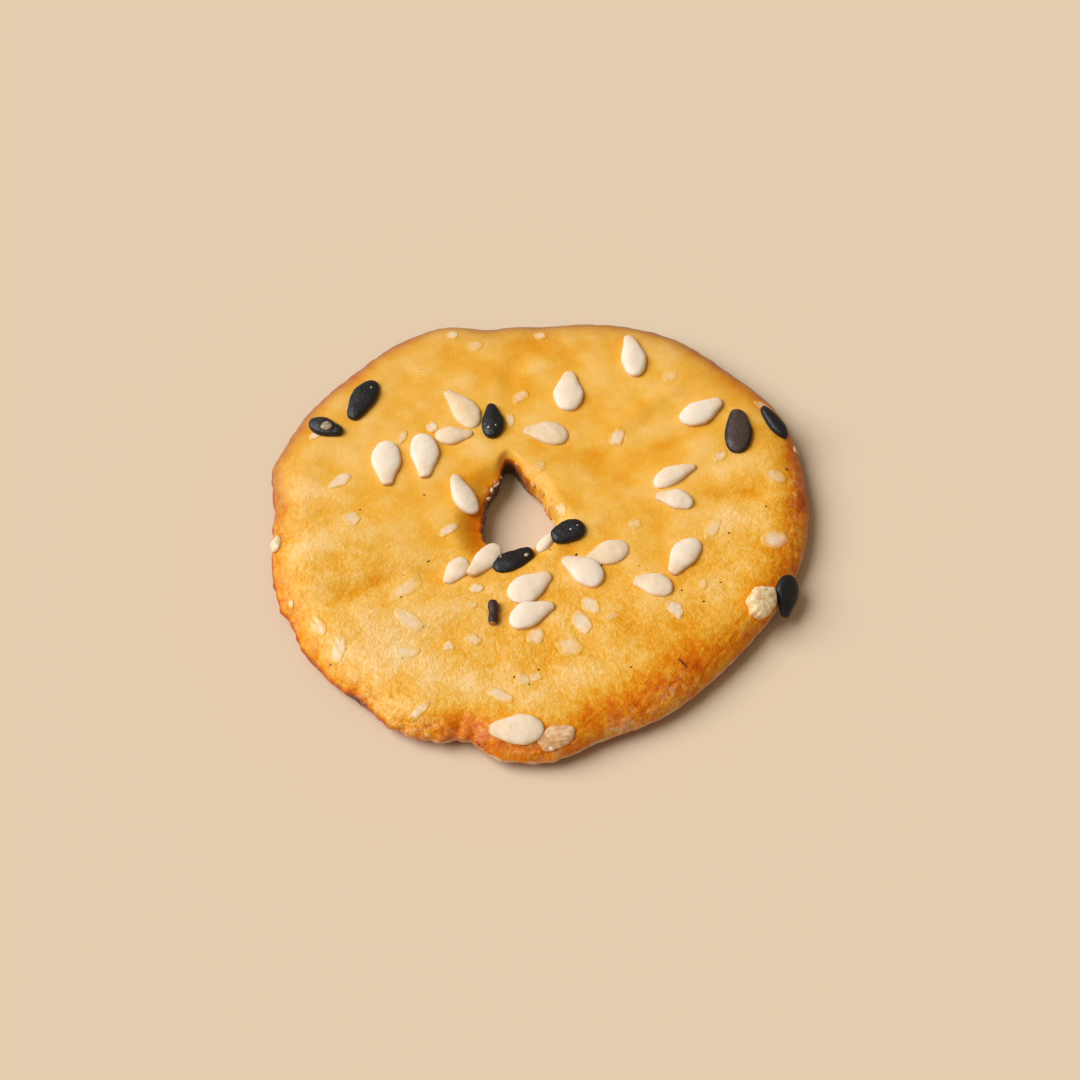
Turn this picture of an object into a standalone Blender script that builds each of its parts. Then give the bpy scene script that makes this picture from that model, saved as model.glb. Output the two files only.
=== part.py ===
"""Sesame pretzel cracker: a thin baked ring with a drop-shaped hole, lying on its flat underside.

All sizes are in millimetres and are turned into metres as the meshes are made.
+X is to the right, +Y is away from the front edge and +Z is up. The origin is
on the surface that the cracker lies on, under the middle of its outline.

The dough's surface is a height above the plan position (x, y). It depends on
how far the point is in from the rim, how far it is out from the hole, and on a
few broad swells. Seeds, salt flakes, one granule of dried garlic and one husk
are pressed into the dough and are one body with it.
"""

import math

import bmesh
import bpy
from mathutils import Matrix, Vector

MM = 0.001

# Outline of the ring seen from above: radii at even angles from +X, anticlockwise.
RIM_CENTRE = (0.0, 0.0)
RIM_RADII = (
    20.8, 21.4, 22.0, 21.4, 21.3, 20.5, 19.6, 20.2, 21.2, 21.1, 21.5, 21.5,
    20.7, 21.0, 20.8, 20.3, 20.3, 19.4, 20.0, 18.7, 18.6, 18.4, 18.8, 19.8,
)
# Nicks and lobes of the broken rim: angle in degrees, depth or reach, half-width in degrees.
RIM_NICKS = (
    (102, -0.3, 4), (112, 0.3, 5), (164, 0.25, 3), (174, -0.25, 3),
    (204, -0.3, 3), (231, -0.2, 3), (253, -0.4, 4), (261, 0.3, 4),
)

# Outline of the hole, and the corner that it is drawn out to at the back.
HOLE_CENTRE = (-1.5, 0.9)
HOLE_RADII = (2.8, 2.3, 2.85, 3.3, 3.4, 3.0, 2.8, 3.15, 3.25, 2.85, 2.75, 2.65)
HOLE_CORNER = ((100, 2.0, 12),)

# Section of the ring.
WAIST = 1.15            # height of the widest line of the rim, and of the hole's wall
CROWN = 2.85            # height of the top face between rim and hole
RIM_FALL = 3.4          # width of the rounded fall to the rim
RIM_POWER = 2.1         # roundness of that fall
LIP = 0.4               # share of the rise that is left at the hole's lip
LIP_ROUND = 0.5         # width of the rounded lip
HOLE_SLOPE = 2.0        # mean width of the slope down to the hole
HOLE_SLOPE_SWING = 0.8  # how much wider the slope is on the side it is widest
HOLE_SLOPE_TOWARDS = 200.0
UNDER_ROUND = 1.6       # width of the underside's rounded edge at the rim
UNDER_HOLE_ROUND = 0.8  # the same at the hole
RIM_LIFT = 0.3          # how far the baked rim curls up off the surface
RIM_LIFT_WIDTH = 4.5

# Broad swells and furrows of the top: x, y, heading in degrees, half-length, half-width, height.
SWELLS = (
    (-11.0, -5.2, 15, 6.0, 1.2, -0.30),
    (-16.0, 1.6, -10, 4.0, 1.0, -0.20),
    (-15.5, -2.2, 0, 3.5, 1.8, 0.20),
    (-12.5, -8.6, 15, 4.5, 1.9, 0.20),
    (8.3, 10.6, 40, 3.5, 0.8, 0.18),
    (5.0, 5.6, -20, 4.0, 2.2, -0.25),
    (16.0, 2.6, 8, 4.0, 0.7, -0.20),
    (-2.2, 14.0, 85, 2.6, 0.9, -0.15),
    (7.0, -9.5, 20, 5.0, 3.5, 0.22),
)

# Mesh steps: round the ring, across its top and across its underside.
STEPS_ROUND = 96
STEPS_TOP = 16
STEPS_UNDER = 11

# Toppings: x, y, heading of the pointed end in degrees, length, width.
WHITE_SEEDS = (
    (7.45, 15.7, 98, 4.0, 2.0),
    (2.3, 12.3, 88, 3.8, 2.4),
    (-6.1, 10.7, 125, 4.3, 2.2),
    (-6.7, 8.1, 5, 2.9, 1.3),
    (-11.95, 5.4, -88, 4.1, 2.35),
    (-9.0, 6.1, -85, 4.1, 2.3),
    (-5.95, 2.6, 118, 3.7, 1.8),
    (0.5, 8.4, 170, 3.6, 2.2),
    (12.8, 10.3, 31, 3.8, 2.1),
    (10.5, 4.4, 29, 3.7, 1.7),
    (10.45, 2.15, 166, 3.0, 1.8),
    (-6.4, -4.3, -122, 2.7, 1.8),
    (-4.2, -3.3, -124, 3.9, 1.9),
    (0.75, -1.6, 62, 2.0, 0.9),
    (5.2, -2.8, -157, 3.5, 2.2),
    (3.3, -4.3, 142, 3.7, 2.4),
    (-0.7, -5.8, 34, 3.8, 2.4),
    (-0.6, -8.2, 28, 3.7, 2.2),
    (11.0, -3.1, -123, 3.7, 2.1),
    (8.65, -5.6, 162, 3.1, 2.1),
    (-1.7, -18.0, 180, 4.1, 2.4),
)
BLACK_SEEDS = (
    (-14.0, 11.4, -116, 4.0, 1.8),
    (-16.8, 8.8, -24, 2.9, 1.6),
    (-3.7, 9.4, 92, 3.2, 1.8),
    (15.6, 8.4, 87, 4.0, 2.2),
    (18.45, 9.5, 125, 3.3, 1.3),
    (2.2, -1.0, 180, 2.8, 2.1),
    (-2.0, -3.55, 28, 3.7, 1.9),
    (18.8, -5.95, -89, 3.4, 2.0),
    (-3.5, -8.2, 90, 2.0, 0.8),
)
SALT_FLAKES = (
    (-6.95, 18.0, 179, 1.1, 1.1),
    (0.04, 17.9, 180, 1.1, 0.9),
    (-2.3, 9.65, 100, 1.4, 0.8),
    (6.1, 7.9, 69, 1.8, 1.3),
    (-0.04, 5.3, -164, 1.3, 1.25),
    (1.6, 1.4, 153, 1.2, 1.3),
    (-15.6, 3.8, 36, 2.05, 1.2),
    (-14.5, 0.46, 0, 1.2, 1.45),
    (-20.3, -1.45, 87, 1.5, 1.1),
    (-7.0, -0.6, 39, 1.75, 1.0),
    (-4.8, -5.9, -168, 1.25, 0.9),
    (-10.2, -5.8, 43, 2.85, 1.3),
    (-9.9, -8.7, 137, 2.4, 1.1),
    (-15.1, -11.3, 78, 2.0, 0.9),
    (-16.9, -9.0, 116, 1.7, 1.0),
    (-10.0, -11.5, 172, 1.8, 1.0),
    (-6.8, -10.9, 0, 0.9, 1.1),
    (-5.0, -10.4, 152, 1.5, 1.2),
    (-0.3, -10.1, -156, 1.5, 1.4),
    (3.9, -7.4, 132, 1.9, 1.3),
    (3.2, -9.0, 123, 2.3, 1.4),
    (2.25, -11.0, 158, 2.3, 1.8),
    (-1.3, -13.8, 155, 1.4, 1.2),
    (-2.9, -15.2, 153, 2.3, 1.1),
    (-8.9, -16.4, 42, 2.3, 0.8),
    (10.3, -7.8, 130, 1.8, 1.2),
    (12.4, -5.5, 0, 1.0, 1.2),
    (18.1, -1.5, 20, 2.2, 1.4),
    (18.5, 4.3, 166, 1.6, 1.3),
    (-8.45, 8.9, 0, 0.95, 1.0),
)
GARLIC_GRANULES = ((16.8, -6.9, 80, 2.7, 2.4),)
HUSKS = ((1.2, -18.6, 24, 3.2, 1.5),)

# How each kind of topping sits: thickness, and how much of it is sunk in the dough.
WHITE_SEED_BODY = (0.95, 0.30)
BLACK_SEED_BODY = (0.90, 0.25)
SALT_FLAKE_BODY = (0.50, 0.32)
GARLIC_BODY = (1.90, 0.50)
HUSK_BODY = (0.45, 0.20)
SIDES = 5               # sides and bands of a topping: thirty triangles
BANDS = 4
SIDE_SPREAD = 1.08      # makes up for the flats of the five-sided section
SEED_TAPER = 0.45       # how much narrower a seed gets towards its pointed end
RIM_SEAT = 0.7          # a topping nearer the rim than this sits at the height found here
HOLE_SEAT = 0.7         # the same at the hole
SLOPE_STEP = 0.05       # plan distance over which the slope under a topping is taken

# How the dough and each kind of topping look: colour in linear RGB, and roughness.
CRUST_LOOK = ((0.80, 0.42, 0.09), 0.40)
WHITE_SEED_LOOK = ((0.88, 0.71, 0.52), 0.45)
BLACK_SEED_LOOK = ((0.02, 0.02, 0.022), 0.35)
SALT_FLAKE_LOOK = ((0.85, 0.60, 0.38), 0.30)
GARLIC_LOOK = ((0.80, 0.55, 0.26), 0.70)
HUSK_LOOK = ((0.72, 0.40, 0.17), 0.40)


def at_angle(radii, degrees):
    """Radius at an angle, on the smooth closed curve through radii at even angles."""
    count = len(radii)
    place = (degrees % 360.0) / 360.0 * count
    first = int(place)
    part = place - first
    before = radii[(first - 1) % count]
    here = radii[first % count]
    ahead = radii[(first + 1) % count]
    after = radii[(first + 2) % count]
    bend = 2 * before - 5 * here + 4 * ahead - after
    twist = 3 * (here - ahead) + after - before
    return here + 0.5 * part * (ahead - before + part * (bend + part * twist))


def bumps(rows, degrees):
    """Sum of the rounded bumps in rows at an angle: angle, height, half-width."""
    total = 0.0
    for middle, height, half_width in rows:
        away = (degrees - middle + 180.0) % 360.0 - 180.0
        total += height * math.exp(-((away / half_width) ** 2))
    return total


def rim_radius(degrees):
    return at_angle(RIM_RADII, degrees) + bumps(RIM_NICKS, degrees)


def hole_radius(degrees):
    return at_angle(HOLE_RADII, degrees) + bumps(HOLE_CORNER, degrees)


def polar(x, y, centre):
    """Distance and angle in degrees of a plan point from a centre."""
    across = x - centre[0]
    along = y - centre[1]
    return math.hypot(across, along), math.degrees(math.atan2(along, across))


def rounded(distance, width, power=2.0):
    """Quarter of a rounded outline: 0 at the edge, 1 once the distance passes the width."""
    share = 1.0 - min(max(distance / width, 0.0), 1.0)
    return (1.0 - share**power) ** (1.0 / power)


def eased(share):
    """Smooth step from 0 to 1."""
    share = min(max(share, 0.0), 1.0)
    return share * share * (3.0 - 2.0 * share)


def edge_distances(x, y):
    """How far a plan point is in from the rim and out from the hole, and its angle at the hole."""
    reach, angle = polar(x, y, RIM_CENTRE)
    hole_reach, hole_angle = polar(x, y, HOLE_CENTRE)
    return rim_radius(angle) - reach, hole_reach - hole_radius(hole_angle), hole_angle


def swell(x, y):
    """Height that the swells and furrows add at a plan point."""
    total = 0.0
    for middle_x, middle_y, heading, half_length, half_width, height in SWELLS:
        turn = math.radians(heading)
        across = x - middle_x
        along = y - middle_y
        lengthwise = (across * math.cos(turn) + along * math.sin(turn)) / half_length
        sideways = (along * math.cos(turn) - across * math.sin(turn)) / half_width
        total += height * math.exp(-(lengthwise**2) - sideways**2)
    return total


def top_height(x, y):
    """Height of the top face above a plan point."""
    from_rim, from_hole, hole_angle = edge_distances(x, y)
    towards = math.radians(hole_angle - HOLE_SLOPE_TOWARDS)
    slope = HOLE_SLOPE + HOLE_SLOPE_SWING * math.cos(towards)
    inner = (LIP + (1.0 - LIP) * eased(from_hole / slope)) * rounded(from_hole, LIP_ROUND)
    outer = rounded(from_rim, RIM_FALL, RIM_POWER)
    return WAIST + (CROWN - WAIST + swell(x, y)) * inner * outer


def under_height(x, y):
    """Height of the underside: flat at 0, rounded at both edges, and curled up at the rim."""
    from_rim, from_hole, _ = edge_distances(x, y)
    outer = rounded(from_rim, UNDER_ROUND)
    curl = RIM_LIFT * (1.0 - eased(from_rim / RIM_LIFT_WIDTH)) * outer
    return WAIST * (1.0 - outer * rounded(from_hole, UNDER_HOLE_ROUND)) + curl


def shares(steps):
    """Shares of the way from hole to rim, closer together near both ends."""
    return [0.5 - 0.5 * math.cos(math.pi * step / steps) for step in range(steps + 1)]


def section(degrees):
    """Points round one section of the ring: over the top to the rim, and back underneath."""
    turn = math.radians(degrees)
    outward = Vector((math.cos(turn), math.sin(turn), 0.0))
    hole = Vector((*HOLE_CENTRE, 0.0)) + hole_radius(degrees) * outward
    rim = Vector((*RIM_CENTRE, 0.0)) + rim_radius(degrees) * outward
    points = []
    for share in shares(STEPS_TOP):
        x, y, _ = hole.lerp(rim, share)
        points.append(Vector((x, y, top_height(x, y))))
    for share in shares(STEPS_UNDER)[-2:0:-1]:
        x, y, _ = hole.lerp(rim, share)
        points.append(Vector((x, y, under_height(x, y))))
    return points


def material(name, look):
    """Principled material of one plain colour, from its colour and roughness."""
    colour, roughness = look
    made = bpy.data.materials.new(name)
    made.use_nodes = True
    shader = made.node_tree.nodes["Principled BSDF"]
    shader.inputs["Base Color"].default_value = (*colour, 1.0)
    shader.inputs["Roughness"].default_value = roughness
    shader.inputs["Metallic"].default_value = 0.0
    return made


def object_of(mesh_maker, name, surface, collection):
    """Object of a bmesh in millimetres, as metres, with its material and in its collection."""
    bmesh.ops.scale(mesh_maker, vec=(MM, MM, MM), verts=mesh_maker.verts)
    bmesh.ops.triangulate(mesh_maker, faces=mesh_maker.faces, quad_method="SHORT_EDGE")
    mesh = bpy.data.meshes.new(name)
    mesh_maker.to_mesh(mesh)
    mesh_maker.free()
    mesh.materials.append(surface)
    made = bpy.data.objects.new(name, mesh)
    collection.objects.link(made)
    return made


def dough_ring(surface):
    """The ring itself: sections at even angles, with a band of faces between each two."""
    maker = bmesh.new()
    rings = []
    for step in range(STEPS_ROUND):
        points = section(360.0 * step / STEPS_ROUND)
        rings.append([maker.verts.new(point) for point in points])
    for step, ring in enumerate(rings):
        after = rings[(step + 1) % STEPS_ROUND]
        for place, corner in enumerate(ring):
            beyond = (place + 1) % len(ring)
            maker.faces.new((corner, ring[beyond], after[beyond], after[place]))
    bmesh.ops.recalc_face_normals(maker, faces=maker.faces)
    return object_of(maker, "cracker", surface, bpy.context.scene.collection)


def moved_out(x, y, centre, distance):
    """The plan point moved straight away from a centre by a distance."""
    reach, _ = polar(x, y, centre)
    share = (reach + distance) / reach
    return centre[0] + (x - centre[0]) * share, centre[1] + (y - centre[1]) * share


def ground_under(x, y):
    """The plan point, moved onto the dough where it overhangs the rim or the hole."""
    from_rim, from_hole, _ = edge_distances(x, y)
    x, y = moved_out(x, y, RIM_CENTRE, min(0.0, from_rim - RIM_SEAT))
    return moved_out(x, y, HOLE_CENTRE, max(0.0, HOLE_SEAT - from_hole))


def seat(x, y, heading):
    """Frame of a topping in the plane that touches the dough: X to its pointed end, Z outwards."""
    ground_x, ground_y = ground_under(x, y)
    height = top_height(ground_x, ground_y)
    rise_x = (top_height(ground_x + SLOPE_STEP, ground_y) - height) / SLOPE_STEP
    rise_y = (top_height(ground_x, ground_y + SLOPE_STEP) - height) / SLOPE_STEP
    up = Vector((-rise_x, -rise_y, 1.0)).normalized()
    turn = math.radians(heading)
    side = up.cross(Vector((math.cos(turn), math.sin(turn), 0.0))).normalized()
    ahead = side.cross(up)
    frame = Matrix((ahead, side, up)).transposed().to_4x4()
    lifted = height + rise_x * (x - ground_x) + rise_y * (y - ground_y)
    frame.translation = Vector((x, y, lifted))
    return frame


def topping(name, row, body, taper, surface, collection):
    """One seed, flake or granule: a five-sided drop, flattened and partly sunk in the dough."""
    x, y, heading, length, width = row
    thickness, sunk = body
    maker = bmesh.new()
    bmesh.ops.create_uvsphere(
        maker,
        u_segments=SIDES,
        v_segments=BANDS,
        radius=1.0,
        matrix=Matrix.Rotation(math.pi / 2, 4, "Y"),
    )
    for corner in maker.verts:
        along = corner.co.x
        narrowing = SIDE_SPREAD * (1.0 - taper * (along + 1.0) / 2.0) / (1.0 - taper / 2.0)
        corner.co.x = along * length / 2
        corner.co.y *= narrowing * width / 2
        corner.co.z = corner.co.z * narrowing * thickness / 2 + thickness / 2 - sunk
    bmesh.ops.transform(maker, matrix=seat(x, y, heading), verts=maker.verts)
    bmesh.ops.recalc_face_normals(maker, faces=maker.faces)
    return object_of(maker, name, surface, collection)


def toppings(collection):
    """Every topping of every kind, as its own object in the collection."""
    kinds = (
        ("white_seed", WHITE_SEEDS, WHITE_SEED_BODY, SEED_TAPER, WHITE_SEED_LOOK),
        ("black_seed", BLACK_SEEDS, BLACK_SEED_BODY, SEED_TAPER, BLACK_SEED_LOOK),
        ("salt_flake", SALT_FLAKES, SALT_FLAKE_BODY, 0.0, SALT_FLAKE_LOOK),
        ("garlic_granule", GARLIC_GRANULES, GARLIC_BODY, 0.0, GARLIC_LOOK),
        ("husk", HUSKS, HUSK_BODY, 0.0, HUSK_LOOK),
    )
    for name, rows, body, taper, look in kinds:
        surface = material(name, look)
        for number, row in enumerate(rows):
            topping(f"{name}_{number:02d}", row, body, taper, surface, collection)


def fuse(ring, collection):
    """Joins the collection's toppings to the ring as one body, and removes their objects."""
    joiner = ring.modifiers.new("pressed_in", "BOOLEAN")
    joiner.operation = "UNION"
    joiner.operand_type = "COLLECTION"
    joiner.collection = collection
    joiner.solver = "EXACT"
    joiner.material_mode = "TRANSFER"
    bpy.context.view_layer.update()
    evaluated = ring.evaluated_get(bpy.context.evaluated_depsgraph_get())
    fused = bpy.data.meshes.new_from_object(evaluated)
    ring.modifiers.clear()
    ring.data = fused
    for pressed in list(collection.objects):
        bpy.data.objects.remove(pressed, do_unlink=True)
    bpy.data.collections.remove(collection)


def build():
    for old in list(bpy.data.objects):
        bpy.data.objects.remove(old, do_unlink=True)
    crust = material("baked_crust", CRUST_LOOK)
    ring = dough_ring(crust)
    pressed = bpy.data.collections.new("toppings")
    bpy.context.scene.collection.children.link(pressed)
    toppings(pressed)
    fuse(ring, pressed)
    ring.data.shade_smooth()


build()
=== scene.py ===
# %% [markdown]
# # A sesame pretzel cracker, from the dough to the last seed
#
# The real thing is a thin ring of dough, sprinkled with white and black sesame, flakes of salt and a
# crumb of dried garlic, then baked until its rim turns brown. The dough could be sculpted by hand, or
# worked out as a height over a plan. The second is chosen, because everything pressed into the dough can
# then ask the same function how high the dough is where it lies.
#
# Lengths are in millimetres until a mesh is made.

import math
from functools import cached_property

import bpy
import numpy as np
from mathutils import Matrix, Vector


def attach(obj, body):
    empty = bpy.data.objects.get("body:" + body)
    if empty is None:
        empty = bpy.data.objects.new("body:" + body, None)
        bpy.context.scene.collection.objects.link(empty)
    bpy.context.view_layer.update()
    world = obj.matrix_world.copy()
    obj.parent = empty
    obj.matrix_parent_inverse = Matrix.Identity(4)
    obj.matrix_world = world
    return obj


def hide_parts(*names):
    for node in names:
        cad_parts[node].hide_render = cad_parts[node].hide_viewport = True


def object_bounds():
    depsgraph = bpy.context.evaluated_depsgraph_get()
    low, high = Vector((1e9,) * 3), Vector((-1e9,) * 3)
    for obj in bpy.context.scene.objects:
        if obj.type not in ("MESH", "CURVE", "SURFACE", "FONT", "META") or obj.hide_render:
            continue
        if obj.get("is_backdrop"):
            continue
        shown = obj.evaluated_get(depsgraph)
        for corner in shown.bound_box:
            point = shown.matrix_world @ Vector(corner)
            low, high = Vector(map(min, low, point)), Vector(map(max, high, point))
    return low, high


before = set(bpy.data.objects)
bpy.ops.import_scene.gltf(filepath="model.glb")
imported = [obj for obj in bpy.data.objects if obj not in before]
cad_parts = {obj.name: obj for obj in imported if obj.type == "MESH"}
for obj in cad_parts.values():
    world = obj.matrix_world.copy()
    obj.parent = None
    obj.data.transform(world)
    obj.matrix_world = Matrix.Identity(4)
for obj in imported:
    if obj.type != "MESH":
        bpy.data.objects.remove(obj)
cad_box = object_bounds()
MM = 0.001
print("the solid model's box in mm:", [[round(float(v) / MM, 2) for v in corner] for corner in cad_box])

# %% [markdown]
# ## The outline
#
# A hand-cut ring is never round. Its rim is a smooth closed curve through radii at even angles, with a
# few nicks where the edge broke as it baked. The hole is a second such curve, drawn out to a corner at
# the back, as dough is when it tears. Both are polar, so any point knows at once how far it is in from
# the rim and out from the hole.

# %% Radii of the rim and of the hole
RIM_RADII = np.array([
    20.8, 21.4, 22, 21.4, 21.3, 20.5, 19.6, 20.2, 21.2, 21.1, 21.5, 21.5,
    20.7, 21, 20.8, 20.3, 20.3, 19.4, 20, 18.7, 18.6, 18.4, 18.8, 19.8,
])
# Nicks and bumps: angle in degrees, height, half-width in degrees.
RIM_NICKS = (
    (102, -0.3, 4), (112, 0.3, 5), (164, 0.25, 3), (174, -0.25, 3),
    (204, -0.3, 3), (231, -0.2, 3), (253, -0.4, 4), (261, 0.3, 4),
    (194.9, -0.12, 1.2), (202.2, -0.14, 1), (208, -0.1, 1), (226.5, -0.12, 1.2), (251, -0.22, 1.2),
)
HOLE_CENTRE = (-1.5, 0.9)
HOLE_RADII = np.array([2.8, 2.3, 2.85, 3.3, 3.4, 3, 2.8, 3.15, 3.25, 2.85, 2.75, 2.65])
HOLE_CORNER = ((100, 2, 12),)


def at_angle(radii, degrees):
    """Cubic through four neighbouring radii: it passes through each one and bends smoothly between."""
    count = len(radii)
    place = np.asarray(degrees, float) % 360 / 360 * count
    first = np.floor(place).astype(int)
    part = place - first
    before, here, ahead, after = (radii[(first + step) % count] for step in (-1, 0, 1, 2))
    bend = 2 * before - 5 * here + 4 * ahead - after
    twist = 3 * (here - ahead) + after - before
    return here + 0.5 * part * (ahead - before + part * (bend + part * twist))


def near(distance, width, power=2):
    """1 at no distance, falling off as exp(-(distance / width)^power)."""
    return np.exp(-((distance / width) ** power))


def bumps(rows, degrees):
    """Sum of height * near(angle from the bump's middle, half-width) over the rows."""
    total = 0
    for middle, height, half_width in rows:
        total = total + height * near((degrees - middle + 180) % 360 - 180, half_width)
    return total


def rim_radius(degrees):
    """Radius of the rim, with its nicks."""
    return at_angle(RIM_RADII, degrees) + bumps(RIM_NICKS, degrees)


def hole_radius(degrees):
    """Radius of the hole about its own centre, with its corner."""
    return at_angle(HOLE_RADII, degrees) + bumps(HOLE_CORNER, degrees)


around = np.arange(0, 360, 0.5)
turns = np.radians(around)
print(f"the ring is {np.ptp(rim_radius(around) * np.cos(turns)):.1f} mm wide",
      f"and {np.ptp(rim_radius(around) * np.sin(turns)):.1f} mm deep")

# %% [markdown]
# ## The section and the broad swells
#
# Across the ring the dough rises from the hole's lip, stays nearly level, and rolls over to the rim.
# Underneath it is flat where it lay on the tray, and its edge curls up a little, as thin dough does in
# the oven. A superellipse gives the roll, because its power says how full the shoulder is. The swells
# and furrows are long soft bumps.

# %% Heights of the top and of the underside
WAIST, CROWN = 1.15, 2.85
RIM_FALL, RIM_POWER = 3.4, 2.1
LIP, LIP_SWING, LIP_ROUND = 0.62, 0.18, 0.35
HOLE_SLOPE, HOLE_SLOPE_SWING, HOLE_SLOPE_TOWARDS = 1.9, 0.6, 200
UNDER_ROUND, UNDER_HOLE_ROUND = 1.6, 0.8
RIM_LIFT, RIM_LIFT_WIDTH = 0.3, 4.5
CORNER_FADE = 0.9
# Long soft bumps: x, y, heading, half-length, half-width, height.
SWELLS = (
    (-11, -5.2, 15, 6, 1.2, -0.3), (-16, 1.6, -10, 4, 1, -0.2), (-15.5, -2.2, 0, 3.5, 1.8, 0.2),
    (-12.5, -8.6, 15, 4.5, 1.9, 0.2), (8.3, 10.6, 40, 3.5, 0.8, 0.18), (5, 5.6, -20, 4, 2.2, -0.25),
    (16, 2.6, 8, 4, 0.7, -0.2), (-2.2, 14, 85, 2.6, 0.9, -0.15), (7, -9.5, 20, 5, 3.5, 0.22),
)


def rounded(distance, width, power=2):
    """Quarter superellipse: (1 - (1 - distance / width)^power)^(1 / power), 1 past the width."""
    share = 1 - np.clip(distance / width, 0, 1)
    return (1 - share**power) ** (1 / power)


def eased(share):
    """Smooth step: 3 s^2 - 2 s^3 between 0 and 1."""
    share = np.clip(share, 0, 1)
    return share * share * (3 - 2 * share)


def towards(angle, middle, sharpness, low=0):
    """1 around the middle angle, 0 away from it: smooth step of sharpness * cos(angle - middle) - low."""
    return eased(np.cos(np.radians(angle - middle)) * sharpness - low)


def patches(rows, x, y):
    """Sum over the rows of height * exp(-(lengthwise / half-length)^2 - (sideways / half-width)^2)."""
    total = np.zeros(np.broadcast(x, y).shape)
    for middle_x, middle_y, heading, half_length, half_width, height in rows:
        turn = math.radians(heading)
        lengthwise = ((x - middle_x) * math.cos(turn) + (y - middle_y) * math.sin(turn)) / half_length
        sideways = ((y - middle_y) * math.cos(turn) - (x - middle_x) * math.sin(turn)) / half_width
        total += height * np.exp(-(lengthwise**2) - sideways**2)
    return total


def edge_distances(x, y):
    """Distance in from the rim, distance out from the hole, and the angles at both centres.

    The corner is narrow, so its pull on the distance fades going outward.
    """
    east, north = x - HOLE_CENTRE[0], y - HOLE_CENTRE[1]
    angle, hole_angle = np.degrees(np.arctan2(y, x)), np.degrees(np.arctan2(north, east))
    from_rim = rim_radius(angle) - np.hypot(x, y)
    from_hole = np.hypot(east, north) - hole_radius(hole_angle)
    beyond = 1 - near(np.maximum(from_hole, 0), CORNER_FADE, 1)
    from_hole = from_hole + bumps(HOLE_CORNER, hole_angle) * beyond
    return from_rim, from_hole, angle, hole_angle


def top_height(x, y):
    """Waist + (crown - waist + swells) * roll to the rim * rise from the hole."""
    from_rim, from_hole, _, hole_angle = edge_distances(x, y)
    swing = np.cos(np.radians(hole_angle - HOLE_SLOPE_TOWARDS))
    slope = HOLE_SLOPE + HOLE_SLOPE_SWING * swing
    lip = LIP - LIP_SWING * swing
    inner = (lip + (1 - lip) * eased(from_hole / slope)) * rounded(from_hole, LIP_ROUND)
    outer = rounded(from_rim, RIM_FALL, RIM_POWER)
    return WAIST + (CROWN - WAIST + patches(SWELLS, x, y)) * inner * outer


def under_height(x, y):
    """Flat at 0, rounded up to the waist at both edges, and curled up at the rim."""
    from_rim, from_hole, _, _ = edge_distances(x, y)
    outer = rounded(from_rim, UNDER_ROUND)
    curl = RIM_LIFT * (1 - eased(from_rim / RIM_LIFT_WIDTH)) * outer
    return WAIST * (1 - outer * rounded(from_hole, UNDER_HOLE_ROUND)) + curl


print(f"6 mm in from its right edge the dough is {top_height(15, 0):.2f} mm high,",
      f"and beside the hole {top_height(-4.8, 0.9):.2f} mm")

# %% [markdown]
# ## Wrinkles
#
# A glazed crust dries into fine leathery wrinkles, drawn out along the rim where the dough stretched.
# Noise textures could make them in the shader alone, but then no edge would catch the light. So the
# coarser ones are real relief: sums of plane waves with random headings and phases.

# %% Random relief as sums of waves
WAVE_SPREAD, RIM_WAVE_SPREAD, RIM_WAVE_TURNS = 0.35, 0.3, 60
WARP, WARP_LENGTH, CREASE_WIDTH = 0.35, 2.2, 0.35


def waves(u, v, length, count, seed):
    """Mean-free sum of `count` cosines with wavelengths near `length`, scaled to unit deviation."""
    draw = np.random.default_rng(seed)
    total = np.zeros(np.broadcast(u, v).shape)
    for _ in range(count):
        heading, phase = draw.uniform(0, 2 * math.pi, 2)
        pace = 2 * math.pi / (length * math.exp(draw.normal(0, WAVE_SPREAD)))
        total += np.cos(pace * (u * math.cos(heading) + v * math.sin(heading)) + phase)
    return total / math.sqrt(count / 2)


def creases(u, v, length, count, seed):
    """Narrow furrows where a warped wave field crosses zero: exp(-(field / width)^2)."""
    bent_u = u + WARP * length * waves(u, v, WARP_LENGTH * length, 12, seed + 1)
    bent_v = v + WARP * length * waves(u, v, WARP_LENGTH * length, 12, seed + 2)
    return near(waves(bent_u, bent_v, length, count, seed), CREASE_WIDTH)


def rim_waves(angle, inward, length, count, seed):
    """Sum of cos(k * angle + pace * inward + phase) with whole k, so it closes on itself round the rim."""
    draw = np.random.default_rng(seed)
    total = np.zeros(np.broadcast(angle, inward).shape)
    for _ in range(count):
        k = round(draw.normal(0, RIM_WAVE_TURNS))
        pace = 2 * math.pi / (length * math.exp(draw.normal(0, RIM_WAVE_SPREAD)))
        total += np.cos(k * np.radians(angle) + pace * inward + draw.uniform(0, 2 * math.pi))
    return total / math.sqrt(count / 2)


def layered(field, rows, u, v):
    """Sum over the rows of height * field(u, v, wavelength, number of waves, seed)."""
    return sum(height * field(u, v, *rest) for height, *rest in rows)


sample_x, sample_y = np.meshgrid(np.linspace(-14, -8, 60), np.linspace(-8, 4, 60))
print(f"unscaled waves deviate by {waves(sample_x, sample_y, 1, 40, 1).std():.2f}")

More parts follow.
